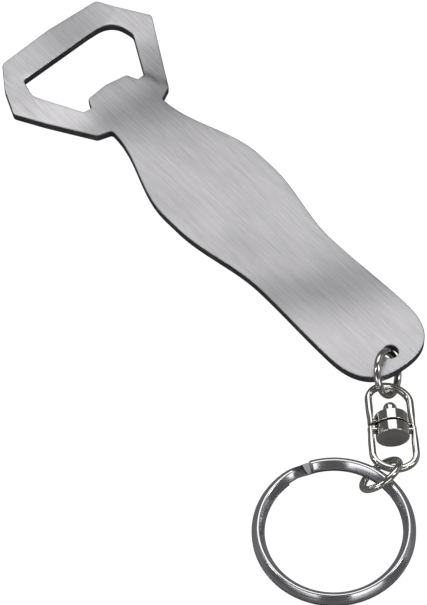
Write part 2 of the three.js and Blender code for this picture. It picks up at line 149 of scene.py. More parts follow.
# %% [markdown]
# A piece is often made of several surfaces: the plate has faces and walls, a bail has a bow,
# straps and an eye. They are collected first and become one mesh at the end, with a UV map in
# millimetres for the brushing lines and one number per point that scales the colour: painted
# sheen and painted shade on the plate, a darker tone on the key ring's flat feet.

# %% Collect a piece's surfaces
class Shell:
    """Collects the points, faces, UVs, material numbers and the per-point tone and painted shading
    of one piece.
    """

    def __init__(self):
        self.points, self.faces, self.uvs, self.finishes, self.tones_and_painted_shading = [], [], [], [], []
        self.count = 0

    def add(self, points, faces, uv, finish=0, lustre=1.0, caps=()):
        """Adds a surface. uv holds one pair per point, in millimetres, and the per-point tone one
        number
        that scales the colour: painted sheen and shade on the plate, a darker tone on the key
        ring's feet.
        caps are faces with more sides than the rest."""
        points = np.asarray(points, float).reshape(-1, 3)
        self.points.append(points)
        self.tones_and_painted_shading.append(np.broadcast_to(np.ravel(lustre), len(points)))
        self.faces += (np.asarray(faces) + self.count).tolist()
        self.faces += [(cap + self.count).tolist() for cap in caps]
        self.uvs.append(np.asarray(uv, float).reshape(-1, 2))
        self.finishes += [finish] * (len(faces) + len(caps))
        self.count += len(points)

    def mesh(self, name, materials=()):
        """Puts the collected surfaces into one mesh."""
        mesh = bpy.data.meshes.new(name)
        mesh.from_pydata(np.concatenate(self.points).tolist(), [], self.faces)
        loops = np.empty(len(mesh.loops), dtype=np.int32)
        mesh.loops.foreach_get("vertex_index", loops)
        layer = mesh.uv_layers.new(name="length_across")
        layer.data.foreach_set("uv", np.concatenate(self.uvs)[loops].ravel())
        # One number per point that scales the colour: painted sheen and painted shade on the
        # plate, a darker tone on the key ring's flat feet.
        lustre = mesh.attributes.new("lustre", "FLOAT", "POINT")
        lustre.data.foreach_set("value", np.concatenate(self.tones_and_painted_shading))
        for material in materials:
            mesh.materials.append(material)
        mesh.polygons.foreach_set("material_index", self.finishes)
        mesh.polygons.foreach_set("use_smooth", [True] * len(mesh.polygons))
        mesh.update()
        welded(name, mesh)
        return mesh

    def build(self, name, body, nodes, materials, slots=()):
        """Makes the object, cuts the slots out of it, hangs it on its body and lets it stand
        for its CAD nodes."""
        piece = bpy.data.objects.new(name, self.mesh(name, materials))
        bpy.context.collection.objects.link(piece)
        for tool in slots:
            cut_out(piece, tool)
        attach(piece, body)
        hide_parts(*nodes)
        print(f"{name}: {len(piece.data.vertices)} points, {len(piece.data.polygons)} faces")


def cut_out(piece, tool_shell):
    """Takes one shell's shape out of a piece, as a slotting tool does, and leaves the result
    as the piece's own mesh."""
    tool = bpy.data.objects.new("slotting_tool", tool_shell.mesh("slotting_tool"))
    bpy.context.collection.objects.link(tool)
    cut = piece.modifiers.new("slot", "BOOLEAN")
    cut.operation, cut.solver, cut.object = "DIFFERENCE", "EXACT", tool
    evaluated = piece.evaluated_get(bpy.context.evaluated_depsgraph_get())
    mesh = bpy.data.meshes.new_from_object(evaluated)
    piece.modifiers.clear()
    piece.data = mesh
    bpy.data.meshes.remove(tool.data)
    welded(piece.name, mesh)


# %% [markdown]
# Wire, strip and the bails' straps are all one profile carried along a path. At each place
# the path needs two directions, a side and an up, and the profile's two coordinates are
# measured along them.

# %% Carry a profile along a path
def swept(centres, sides, ups, sections):
    """Points of a swept surface: each centre plus the section's two coordinates times the
    side and up directions there. sections is one profile, or one for each place."""
    sections = np.broadcast_to(sections, (len(centres),) + np.shape(sections)[-2:])
    return (centres[:, None, :] + sections[..., :1] * sides[:, None, :]
            + sections[..., 1:] * ups[:, None, :])


def path_lengths(points):
    """Distance along a row of points, starting at 0."""
    steps = np.linalg.norm(np.diff(points, axis=0), axis=1)
    return np.concatenate([[0], np.cumsum(steps)])


def add_sweep(shell, centres, sides, ups, sections, lustre=1.0):
    """Adds a swept surface with flat ends. Its UV is length along by length around, in mm."""
    points = swept(centres, sides, ups, sections)
    rows, columns = points.shape[:2]
    along = path_lengths(centres) / MM
    around = path_lengths(points[rows // 2]) / MM
    uv = np.stack(np.meshgrid(along, around, indexing="ij"), axis=-1)
    shell.add(points, grid_faces(rows, columns), uv, lustre=lustre, caps=end_caps(rows, columns))


WIRE_SIDES = 28
CUT_ROUNDING = 0.1


def round_section(width, height, power=2.0):
    """Superellipse: |x/a|^power + |y/b|^power = 1. A power of 2 is an ellipse."""
    turn = np.linspace(0, 2 * np.pi, WIRE_SIDES, endpoint=False)
    x = np.sign(np.cos(turn)) * np.abs(np.cos(turn)) ** (2 / power)
    y = np.sign(np.sin(turn)) * np.abs(np.sin(turn)) ** (2 / power)
    return np.stack([x * width / 2, y * height / 2], axis=1) * MM


def eased_ends(count, rounding=CUT_ROUNDING):
    """Scale of the section at each place: 1 along the path and less at its first and last
    place, so that a cut wire end has its edge rounded off."""
    scale = np.ones(count)
    scale[0] = scale[-1] = 1 - rounding
    return scale[:, None, None]


# %% [markdown]
# The pin, the collars and the eyes are round, so each is a profile turned about an axis: the
# point at (radius, height) goes round a circle of that radius at that height.

# %% Turn a profile about an axis
def add_turned(shell, profile, origin, axes, sides):
    """Surface of revolution: radius and height from the profile, turned about the third
    axis. A profile that starts and ends at radius 0 is capped there. Any other profile is
    taken as a closed loop, and makes a ring."""
    profile = np.asarray(profile, float)
    inner = profile[1:-1] if profile[0, 0] == 0 else profile
    turn = np.linspace(0, 2 * np.pi, sides, endpoint=False)
    ring = np.stack([np.cos(turn), np.sin(turn)], axis=1) @ np.stack(axes[:2])
    points = (origin + MM * (inner[:, :1, None] * ring[None] + inner[:, 1:, None] * axes[2]))
    rows = len(inner)
    around = turn * inner[:, 0].max()
    uv = np.stack(np.meshgrid(path_lengths(inner), around, indexing="ij"), axis=-1)
    is_ring = profile[0, 0] != 0
    shell.add(points, grid_faces(rows, sides, close_rows=is_ring)[:, ::-1], uv,
              caps=[] if is_ring else end_caps(rows, sides))


# %% [markdown]
# A punch or a bend never leaves a sharp corner. Each outline is written as its corners, with
# how far each is rounded, and a parabola then replaces every corner.

# %% Round the corners of an outline
ARC_STEPS = 9


def directions_from(corner, *others):
    """Unit vectors from each corner to its neighbours."""
    return [(other - corner) / np.linalg.norm(other - corner, axis=1, keepdims=True)
            for other in others]


def round_reach(before, corner, after, radius):
    """How far from a corner its round starts: radius / tan(half the corner's angle)."""
    back, ahead = directions_from(corner, before, after)
    half = np.arccos(np.clip((back * ahead).sum(axis=1), -1, 1)) / 2
    return radius / np.tan(half)


def parabolas(before, corner, after, reach, steps=ARC_STEPS):
    """One arc (1-t)^2 a + 2t(1-t) corner + t^2 b for each corner, all in one row. Its ends a
    and b lie at the distance reach from the corner, on its two sides."""
    back, ahead = directions_from(corner, before, after)
    reach, t = reach[:, None], np.linspace(0, 1, steps)[None, :, None]
    arcs = ((1 - t) ** 2 * (corner + back * reach)[:, None] + 2 * t * (1 - t) * corner[:, None]
            + t ** 2 * (corner + ahead * reach)[:, None])
    return arcs.reshape(-1, 2)


def rounded_loop(corners, spacing):
    """Closed outline through corners (x, y, radius), cut into equal steps."""
    corners = np.asarray(corners, float)
    here = corners[:, :2]
    before, after = np.roll(here, 1, axis=0), np.roll(here, -1, axis=0)
    reach = round_reach(before, here, after, corners[:, 2])
    return even_steps(parabolas(before, here, after, reach), spacing)


def rounded_run(corners):
    """Open run through corners (x, y, radius). The first and last stay as they are."""
    corners = np.asarray(corners, float)
    points = corners[:, :2]
    before, here, after = points[:-2], points[1:-1], points[2:]
    reach = round_reach(before, here, after, corners[1:-1, 2])
    return np.concatenate([points[:1], parabolas(before, here, after, reach), points[-1:]])


def rounded_profile(corners, steps=6):
    """Open run through corners (radius, height, reach of the rounding)."""
    corners = np.asarray(corners, float)
    points = corners[:, :2]
    arcs = parabolas(points[:-2], points[1:-1], points[2:], corners[1:-1, 2], steps)
    return np.concatenate([points[:1], arcs, points[-1:]])


def even_steps(loop, spacing):
    """The same closed loop with its points at equal distances."""
    ring = np.concatenate([loop, loop[:1]])
    lengths = path_lengths(ring)
    places = np.linspace(0, lengths[-1], int(lengths[-1] / spacing), endpoint=False)
    return np.stack([np.interp(places, lengths, ring[:, k]) for k in range(2)], axis=1)


# %% [markdown]
# ## Brushed steel
# The sheet was brushed along the handle before it was stamped. Long thin streaks run a few
# degrees off its axis, and the sheen shifts slowly from place to place. The streaks come from
# noise that is stretched along the piece's own UV map, whose units are millimetres, so they
# follow the metal and not the view.

# %% Node helpers
def new_material(name, colour, roughness, anisotropy=0.0):
    """A metal with its fixed numbers set straight on the shader's own sockets."""
    material = bpy.data.materials.new(name)
    material.use_nodes = True
    shader = material.node_tree.nodes["Principled BSDF"]
    shader.inputs["Base Color"].default_value = (*colour, 1)
    shader.inputs["Metallic"].default_value = 1.0
    shader.inputs["Roughness"].default_value = roughness
    shader.inputs["Anisotropic"].default_value = anisotropy
    return material, material.node_tree, shader


def uv_pattern(tree, scale, turn_deg=0.0):
    """The piece's UV map, turned and stretched."""
    uv = tree.nodes.new("ShaderNodeUVMap")
    uv.uv_map = "length_across"
    mapping = tree.nodes.new("ShaderNodeMapping")
    mapping.inputs["Rotation"].default_value = (0, 0, np.radians(turn_deg))
    mapping.inputs["Scale"].default_value = (*scale, 1)
    tree.links.new(uv.outputs["UV"], mapping.inputs["Vector"])
    return mapping.outputs["Vector"]


def noise(tree, vector, detail, roughness=0.6):
    """A noise value over the given coordinates."""
    node = tree.nodes.new("ShaderNodeTexNoise")
    node.inputs["Scale"].default_value = 1.0
    node.inputs["Detail"].default_value = detail
    node.inputs["Roughness"].default_value = roughness
    tree.links.new(vector, node.inputs["Vector"])
    return node.outputs["Fac"]


def ranged(tree, value, from_low, from_high, to_low, to_high):
    """The value moved from one range to another, and held inside it."""
    node = tree.nodes.new("ShaderNodeMapRange")
    for socket, number in zip(list(node.inputs)[1:5], (from_low, from_high, to_low, to_high)):
        socket.default_value = number
    tree.links.new(value, node.inputs["Value"])
    return node.outputs["Result"]


def combine(tree, kind, first, second):
    """One Math node on two inputs, each of them a number or another node's output."""
    node = tree.nodes.new("ShaderNodeMath")
    node.operation = kind
    for socket, value in zip(node.inputs, (first, second)):
        if isinstance(value, (int, float)):
            socket.default_value = value
        else:
            tree.links.new(value, socket)
    return node.outputs["Value"]


def mixed(tree, first, second, share):
    """(1 - share) first + share second."""
    return combine(tree, "ADD", combine(tree, "MULTIPLY", first, round(1 - share, 3)),
                   combine(tree, "MULTIPLY", second, share))


def tinted(tree, shader, factor, dark, light):
    """Base colour between two tints."""
    ramp = tree.nodes.new("ShaderNodeValToRGB")
    ramp.color_ramp.elements[0].color = (*dark, 1)
    ramp.color_ramp.elements[1].color = (*light, 1)
    tree.links.new(factor, ramp.inputs["Fac"])
    tree.links.new(ramp.outputs["Color"], shader.inputs["Base Color"])


def bumped(tree, shader, height, strength, depth_mm):
    """Fine relief from a height value."""
    bump = tree.nodes.new("ShaderNodeBump")
    bump.inputs["Strength"].default_value = strength
    bump.inputs["Distance"].default_value = depth_mm * MM
    tree.links.new(height, bump.inputs["Height"])
    tree.links.new(bump.outputs["Normal"], shader.inputs["Normal"])


# %% Brushed face
STREAK_TILT = -3


def tone_and_painted_shading_of(tree):
    """The mesh's own per-point number: painted sheen and shade on the plate, a darker tone on the
    key ring's feet.
    """
    node = tree.nodes.new("ShaderNodeAttribute")
    node.attribute_name = "lustre"
    return node.outputs["Fac"]


def make_brushed_face():
    """Two layers of streaks and one of slow clouding, all scaled by the painted sheen and shade of
    the plate.
    """
    material, tree, shader = new_material("brushed_face", (0.62, 0.62, 0.63), 0.36, 0.55)
    fine = noise(tree, uv_pattern(tree, (0.12, 3.0), STREAK_TILT), detail=6, roughness=0.8)
    broad = noise(tree, uv_pattern(tree, (0.05, 0.9), STREAK_TILT), detail=4, roughness=0.65)
    clouds = noise(tree, uv_pattern(tree, (0.07, 0.1)), detail=2, roughness=0.5)
    streaks = mixed(tree, fine, broad, 0.28)
    shade = ranged(tree, mixed(tree, streaks, clouds, 0.15), 0.36, 0.64, 0.6, 1.16)
    # The base colour is scaled here by the painted sheen and painted shade of the plate.
    shade = combine(tree, "MULTIPLY", shade, tone_and_painted_shading_of(tree))
    tinted(tree, shader, shade, (0.0, 0.0, 0.0), (0.85, 0.835, 0.86))
    tree.links.new(ranged(tree, streaks, 0.3, 0.7, 0.30, 0.46), shader.inputs["Roughness"])
    bumped(tree, shader, fine, 0.35, 0.02)
    tangent = tree.nodes.new("ShaderNodeTangent")
    tangent.direction_type = "UV_MAP"
    tangent.uv_map = "length_across"
    tree.links.new(tangent.outputs["Tangent"], shader.inputs["Tangent"])
    return material


brushed_face = make_brushed_face()
print("made", brushed_face.name)


# %% [markdown]
# The cut edge looks quite different. The punch tears the metal as it goes through, so the
# wall is rough and dark grey, and it gets a material of its own on the same mesh.

# %% Cut edge
def make_cut_edge():
    """Dark wall with a torn grain, from two layers of noise multiplied together."""
    material, tree, shader = new_material("cut_edge", (0.2, 0.2, 0.21), 0.45)
    tear = noise(tree, uv_pattern(tree, (2.2, 0.7)), detail=5, roughness=0.65)
    shade = noise(tree, uv_pattern(tree, (0.2, 0.5)), detail=2)
    tinted(tree, shader, ranged(tree, combine(tree, "MULTIPLY", tear, shade), 0.1, 0.4, 0, 1),
           (0.08, 0.08, 0.085), (0.24, 0.24, 0.25))
    tree.links.new(ranged(tree, tear, 0.3, 0.7, 0.38, 0.62), shader.inputs["Roughness"])
    bumped(tree, shader, tear, 0.5, 0.04)
    return material


cut_edge = make_cut_edge()
print("made", cut_edge.name)


# %% [markdown]
# ## Nickel plate and drawn wire
# The chain is nickel-plated brass, bright and a little warm, with faint handling marks. The
# key ring is drawn from profiled steel wire, so its fine lines run along the wire.

# %% Bright finishes
def make_nickel():
    """Bright plate with faint scuffs that dull it here and there."""
    material, tree, shader = new_material("nickel_plate", (0.66, 0.64, 0.6), 0.14)
    scuffs = noise(tree, uv_pattern(tree, (1.1, 2.4)), detail=6, roughness=0.7)
    haze = noise(tree, uv_pattern(tree, (0.25, 0.25)), detail=2)
    tinted(tree, shader, ranged(tree, haze, 0.3, 0.7, 0, 1),
           (0.74, 0.72, 0.69), (0.84, 0.82, 0.79))
    tree.links.new(ranged(tree, scuffs, 0.35, 0.75, 0.06, 0.2), shader.inputs["Roughness"])
    bumped(tree, shader, scuffs, 0.1, 0.02)
    return material


def make_drawn_steel():
    """Steel with fine drawing lines along the strip."""
    material, tree, shader = new_material("drawn_steel", (0.6, 0.6, 0.61), 0.16, 0.2)
    lines = noise(tree, uv_pattern(tree, (0.06, 5.0)), detail=4, roughness=0.7)
    patches = noise(tree, uv_pattern(tree, (0.12, 0.3)), detail=2)
    shade = ranged(tree, mixed(tree, lines, patches, 0.4), 0.34, 0.66, 0.68, 1)
    # The base colour is made darker here on the key ring's flat feet, from the mesh's per-point
    # number.
    shade = combine(tree, "MULTIPLY", shade, tone_and_painted_shading_of(tree))
    tinted(tree, shader, shade, (0, 0, 0), (0.86, 0.86, 0.89))
    tree.links.new(ranged(tree, lines, 0.3, 0.7, 0.1, 0.22), shader.inputs["Roughness"])
    bumped(tree, shader, lines, 0.2, 0.015)
    return material


nickel = make_nickel()
drawn_steel = make_drawn_steel()
print("materials:", [m.name for m in bpy.data.materials])


# %% [markdown]
# ## The opener's outline
# The handle swells twice and ends in a squared-off round. A cosine eases from one width to
# the next, which is how a stamping die's soft curves are usually drawn, and the tail is a
# superellipse. The head is a polygon with rounded corners, slightly askew as on the real one.

# %% Sizes of the plate
LENGTH, THICKNESS = 110.9, 1.8
HEAD_LENGTH, NECK_START = 29.0, 29.9
NECK, BELLY, WAIST, TAIL = 13.0, 24.2, 18.4, 19.5
BELLY_START, BELLY_END, WAIST_PLACE, TAIL_CAP = 54.0, 57.6, 79.4, 11.4
TAIL_POWER = 2.6
FRONT, FRONT_SKEW, HEAD_WIDTH, BACK_WIDTH = 25.3, 1.3, 38.0, 19.0
LEFT_CORNER, RIGHT_CORNER = 13.6, 10.7
FRONT_BAR, OPENING_LENGTH, OPENING_SIDE = 6.2, 16.3, 12.0
OPENING_FRONT, OPENING_WIDTH, NOTCHES, NOTCH_FLOOR = 22.0, 26.0, 15.6, 1.8
TONGUE_LENGTH, TONGUE, TONGUE_CROWN = 2.4, 9.9, 0.7
LEFT_BOW, NOTCH_ROUND, SIDE_ROUND = 0.6, 0.45, 2.6
OUTLINE_STEP, OPENING_STEP, HOLE_SIDES = 0.3, 0.22, 72
HOLE_DIAMETER, HOLE_TO_TAIL = 3.0, 4.0
hole_x = LENGTH - HOLE_TO_TAIL
plate_origin = hole_middle - MM * (hole_x * plate_along + THICKNESS / 2 * plate_up)
print(f"plate: {LENGTH} x {HEAD_WIDTH} x {THICKNESS} mm")


# %% Outline of the handle and head
def eased(x, start, end, low, high):
    """low + (high - low)(1 - cos(pi share)) / 2, with share going from 0 to 1."""
    share = np.clip((x - start) / (end - start), 0, 1)
    return low + (high - low) * (1 - np.cos(np.pi * share)) / 2


def handle_half_width(x):
    """Half the width of the handle at a distance behind the front edge."""
    cap_start = LENGTH - TAIL_CAP
    width = np.where(x <= BELLY_END, eased(x, NECK_START, BELLY_START, NECK, BELLY),
                     np.where(x <= WAIST_PLACE, eased(x, BELLY_END, WAIST_PLACE, BELLY, WAIST),
                              eased(x, WAIST_PLACE, cap_start, WAIST, TAIL)))
    return width / 2


def plate_outline():
    """Anticlockwise loop: the head's corners, one side of the handle, the tail, the other."""
    cap_start, join = LENGTH - TAIL_CAP, NECK_START + 1
    x = np.linspace(join, cap_start, 160)
    side = np.stack([x, -handle_half_width(x)], axis=1)
    turn = np.linspace(-np.pi / 2, np.pi / 2, 80)[1:-1]
    cap = np.stack([cap_start + TAIL_CAP * np.cos(turn) ** (2 / TAIL_POWER),
                    TAIL / 2 * np.sign(turn) * np.abs(np.sin(turn)) ** (2 / TAIL_POWER)], axis=1)
    head = rounded_run([
        (join, handle_half_width(join), 0),
        (NECK_START, NECK / 2, 0.6),
        (HEAD_LENGTH - 0.8, BACK_WIDTH / 2, 1),
        (RIGHT_CORNER, HEAD_WIDTH / 2, 1.2),
        (0, FRONT / 2, 1.2),
        (0, 0, 6),
        (FRONT_SKEW, -FRONT / 2, 1.6),
        ((LEFT_CORNER + FRONT_SKEW - LEFT_BOW) / 2, -(HEAD_WIDTH + FRONT) / 4 - LEFT_BOW, 3),
        (LEFT_CORNER, -HEAD_WIDTH / 2, 1.2),
        (HEAD_LENGTH, -BACK_WIDTH / 2, 1),
        (NECK_START, -NECK / 2, 0.6),
        (join, -handle_half_width(join), 0),
    ])
    return even_steps(np.concatenate([head, side[1:], cap, side[::-1][:-1] * (1, -1)]),
                      OUTLINE_STEP)


def opening_outline():
    """Loop of the cap opening, with its two notches and the tongue between them."""
    bottom = FRONT_BAR + OPENING_LENGTH
    root = bottom - TONGUE_LENGTH
    outer, inner = NOTCHES / 2, NOTCHES / 2 - NOTCH_FLOOR
    return rounded_loop([
        (FRONT_BAR + FRONT_SKEW, -OPENING_FRONT / 2 - 0.9, 1.1),
        (OPENING_SIDE, -OPENING_WIDTH / 2, SIDE_ROUND),
        (bottom - 0.2, -outer, NOTCH_ROUND), (bottom, -inner, NOTCH_ROUND),
        (root, -TONGUE / 2, 0.6), (root - TONGUE_CROWN, 0, 3), (root, TONGUE / 2, 0.6),
        (bottom, inner, NOTCH_ROUND), (bottom - 0.2, outer, NOTCH_ROUND),
        (OPENING_SIDE, OPENING_WIDTH / 2, SIDE_ROUND),
        (FRONT_BAR - 0.1, OPENING_FRONT / 2 + 0.9, 4.6),
        (FRONT_BAR, OPENING_FRONT / 4, 1.5),
    ], OPENING_STEP)


outline = plate_outline()
opening = opening_outline()
turn = np.linspace(0, 2 * np.pi, HOLE_SIDES, endpoint=False)
tail_hole = (hole_x, 0) + HOLE_DIAMETER / 2 * np.stack([np.cos(turn), np.sin(turn)], axis=1)
print("outline points:", len(outline), "opening:", len(opening))


# %% [markdown]
# ## The sheet's form
# A stamped sheet is never quite flat. The rim round the cap opening is turned up a little, so
# that it meets in faint creases at the front corners, the tongue and neck stand slightly
# proud of the two arms, and the handle has long shallow waves that show in its sheen.

# %% Height of the sheet
RIM_SLOPE, NECK_RISE, WAVE_HEIGHT, WAVE_LENGTH, WAVE_START = 0.055, 0.2, 0.1, 44, 30


def smooth_step(value, low, high):
    """3t^2 - 2t^3 with t going from 0 at low to 1 at high."""
    t = np.clip((value - low) / (high - low), 0, 1)
    return t * t * (3 - 2 * t)


def sheet_rise(x, y):
    """How far the sheet stands above its flat pattern, in mm: a slope outside the rim's
    line, plus the raised neck, plus a sine wave along the handle."""
    ahead = FRONT_BAR + 0.4 - x
    beside = (np.abs(y) - OPENING_FRONT / 2 - 0.2) * 0.86 - np.maximum(x - OPENING_SIDE, 0) * 0.5
    rim = RIM_SLOPE * np.maximum(np.maximum(ahead, beside), 0)
    rim *= 1 - smooth_step(x, 16, 24)
    arm = smooth_step(y - (x - 21.5) * 0.42, 6.4, 8.6) * (1 - smooth_step(x, 28, 31))
    neck = NECK_RISE * smooth_step(x, 10, 19) * (1 - arm) * (1 - smooth_step(x, 32, 58))
    neck *= 1 - smooth_step(-y, 5, 16)
    wave = np.sin((x - WAVE_LENGTH) * 2 * np.pi / WAVE_LENGTH)
    return rim + neck + WAVE_HEIGHT * (1 + wave) * smooth_step(x, WAVE_START, WAVE_LENGTH)


# %% [markdown]
# The bands of sheen and shade that the light leaves on the plate are painted into its colour:
# painted sheen and painted shade, kept as one number per point of the mesh, which the brushed
# finish reads. The neck and the waist get painted shade bands on the handle, and the head has one
# painted tone for each of its sides, for how each side catches the light.

# %% Painted sheen and shade of the sheet
# Painted sheen and painted shade: the handle's base level, its painted bands, and the painted tone
# of each side of the head.
HANDLE_PAINTED_SHADING = 0.74
HANDLE_PAINTED_SHADING_BANDS = [(-0.34, 25, 10), (-0.26, 87, 7), (-0.05, 73, 6), (0.03, 103, 7)]
LEFT_ARM_PAINTED_SHADING, RIGHT_ARM_PAINTED_SHADING, TONGUE_PAINTED_SHADING, FRONT_BAR_PAINTED_SHADING = 0.96, 0.66, 0.64, 0.57


def bump_at(x, place, width):
    """A bell curve: exp(-((x - place) / width)^2)."""
    return np.exp(-((x - place) / width) ** 2)


def lustre(flat):
    """1 where the painted sheen is brightest, and less where painted shade darkens the sheet. Each
    of the handle's painted bands is (change, place, width), along a line that runs aslant."""
    x, y = flat[:, 0], flat[:, 1]
    slanted = x - 0.5 * y
    handle = HANDLE_PAINTED_SHADING + sum(change * bump_at(slanted, place, width)
                                 for change, place, width in HANDLE_PAINTED_SHADING_BANDS)
    left, right = smooth_step(-y, 4, 9), smooth_step(y, 6, 9)
    front = 1 - smooth_step(x + 0.55 * np.abs(y), 11.5, 13)
    sides = LEFT_ARM_PAINTED_SHADING * left + RIGHT_ARM_PAINTED_SHADING * right + TONGUE_PAINTED_SHADING * (1 - left - right)
    wing = sides + 0.18 * right * (1 - smooth_step(x, 12, 19))
    wing -= 0.2 * bump_at(x, 24, 4) * right
    bar = FRONT_BAR_PAINTED_SHADING + 0.17 * smooth_step(3 - y, 0, 13) + 0.14 * smooth_step(y, 7, 13)
    head = wing + (bar - wing) * front
    return head + (handle - head) * smooth_step(x, 21, 30)


# %% [markdown]
# The wall of every outline is one profile carried round it: the punch draws the top edge down
# into a soft round and leaves the bottom edge almost sharp. The two faces are then filled in
# with triangles between the same loops, so that the sheet closes without a seam.

# %% Walls and faces of the plate
EDGE_PROFILE = np.array([
    (0.20, 1.80), (0.145, 1.795), (0.095, 1.778), (0.052, 1.75), (0.02, 1.705), (0.004, 1.65),
    (0.0, 1.56), (0.0, 1.15), (0.012, 0.8), (0.02, 0.4), (0.03, 0.14), (0.06, 0.04), (0.12, 0.0),
])
LIP_ROWS = 4  # the profile's first rows belong to the brushed face
FACE, WALL = 0, 1  # the plate's two materials
FACE_STEP, FACE_MARGIN, SAME_POINT = 0.8, 0.5, 1e-6


def loop_normals(loop):
    """Outward normals of an anticlockwise loop: its direction turned a quarter clockwise."""
    along = np.roll(loop, -1, axis=0) - np.roll(loop, 1, axis=0)
    along /= np.linalg.norm(along, axis=1, keepdims=True)
    return np.stack([along[:, 1], -along[:, 0]], axis=1)


def plate_points(flat, height):
    """Flat pattern points and heights, in mm, put in place in metres."""
    x, y = flat[..., 0], flat[..., 1]
    z = height + sheet_rise(x, y)
    return (plate_origin + MM * (x[..., None] * plate_along
                                 + y[..., None] * np.array([0, 1.0, 0]) + z[..., None] * plate_up))


def add_wall(shell, loop, outward):
    """The edge profile carried round a loop. outward is 1 on the outline, -1 in a hole."""
    inset = loop[None] - outward * EDGE_PROFILE[:, :1, None] * loop_normals(loop)[None]
    heights = np.broadcast_to(EDGE_PROFILE[:, 1:], inset.shape[:2])
    points = plate_points(inset, heights)
    rows, columns = heights.shape
    order = 1 if outward > 0 else -1
    lip = inset[:LIP_ROWS + 1]
    shell.add(points[:LIP_ROWS + 1], grid_faces(LIP_ROWS + 1, columns)[:, ::order], lip, FACE,
              lustre(lip.reshape(-1, 2)))
    wall_uv = np.stack([np.broadcast_to(path_lengths(loop), heights.shape), heights], axis=-1)
    shell.add(points[LIP_ROWS:], grid_faces(rows - LIP_ROWS, columns)[:, ::order],
              wall_uv[LIP_ROWS:], WALL)
    return inset[0], inset[-1]


def encloses(loop, points):
    """Whether each point is inside: a line drawn from it crosses the loop an odd number
    of times."""
    x, y = points[:, 0, None], points[:, 1, None]
    (x0, y0), (x1, y1) = loop.T, np.roll(loop, -1, axis=0).T
    level = (y0 > y) != (y1 > y)
    crossing = x0 + (y - y0) * (x1 - x0) / np.where(y1 == y0, 1, y1 - y0)
    return (level & (x < crossing)).sum(axis=1) % 2 == 1


def add_face(shell, loops, height, upward):
    """Triangles between an outer loop and its holes, with loose points spread inside. The
    triangles also fill the holes at first, and those whose middle is in a hole are dropped."""
    half = HEAD_WIDTH / 2 - FACE_MARGIN
    x, y = np.meshgrid(np.arange(1, LENGTH, FACE_STEP), np.arange(-half, half + 0.1, FACE_STEP))
    spread = np.stack([x.ravel(), y.ravel()], axis=1)
    near = np.min([np.min(np.linalg.norm(spread[:, None] - loop[None, ::2], axis=2), axis=1)
                   for loop in loops], axis=0)
    spread = spread[near > FACE_MARGIN]
    points = [Vector(p) for p in np.concatenate([*loops, spread])]
    edges, first = [], 0
    for loop in loops:
        ids = np.arange(len(loop)) + first
        edges += np.stack([ids, np.roll(ids, -1)], axis=1).tolist()
        first += len(loop)
    flat, _, triangles, *_ = delaunay_2d_cdt(points, edges, [], 0, SAME_POINT)
    flat, triangles = np.array([tuple(p) for p in flat]), np.array([tuple(t) for t in triangles])
    centres = flat[triangles].mean(axis=1)
    metal = encloses(loops[0], centres)
    for hole in loops[1:]:
        metal &= ~encloses(hole, centres)
    faces = triangles[metal][:, ::1 if upward else -1]
    shell.add(plate_points(flat, np.full(len(flat), height)), faces, flat, FACE, lustre(flat))


# %% Build the plate
plate = Shell()
tops, undersides = zip(*[add_wall(plate, outline, 1), add_wall(plate, opening, -1),
                         add_wall(plate, tail_hole, -1)])
add_face(plate, tops, THICKNESS, True)
add_face(plate, undersides, 0.0, False)
plate.build("brushed_plate", "opener", ["opener_plate"],
            [brushed_face, cut_edge])


# %% [markdown]
# ## Jump rings
# A jump ring is one turn of round wire, cut across and pushed shut, so its two ends never
# quite line up. The wire's section is carried round a circle that climbs by a hair.

# %% Jump rings
CUT_GAP, CUT_OFFSET = 0.22, 0.14


def ring_frame(heading, slope):
    """Level direction, steep direction and normal of a ring's plane."""
    normal = direction(heading, slope)
    level = unit(np.cross(UP, normal))
    return level, np.cross(normal, level), normal


def jump_ring(name, node, body, heading, slope, radius, wire, cut):
    """Circle of the given radius from one cut end to the other, climbing by the offset. The
    cut is at that many degrees from the level direction."""
    level, steep, normal = ring_frame(heading, slope)
    half_gap = CUT_GAP / 2 / radius
    share = np.concatenate([[0, 0.002], np.linspace(0.01, 0.99, 180), [0.998, 1]])
    turn = np.radians(cut) + half_gap + (2 * np.pi - 2 * half_gap) * share
    out = np.cos(turn)[:, None] * level + np.sin(turn)[:, None] * steep
    climb = CUT_OFFSET * (share - 0.5)[:, None] * normal
    centres = middle(node) + MM * (radius * out + climb)
    shell = Shell()
    add_sweep(shell, centres, out, np.broadcast_to(normal, out.shape),
              round_section(wire, wire) * eased_ends(len(share)))
    shell.build(name, body, [node], [nickel])


jump_ring("upper_ring_wire", "upper_jump_ring", "upper_ring",
          heading=34.4, slope=26.8, radius=4.13, wire=1.4, cut=-28)
jump_ring("lower_ring_wire", "lower_jump_ring", "lower_ring",
          heading=13, slope=-42.6, radius=4.05, wire=1.36, cut=60)


# %% [markdown]
# ## The swivel
# Each half is a bail of heavy wire bent to a U, its ends flattened and lapped over the pin,
# with a collar pressed over them. The bails share one function, because the two halves are
# the same stamping put back to back.

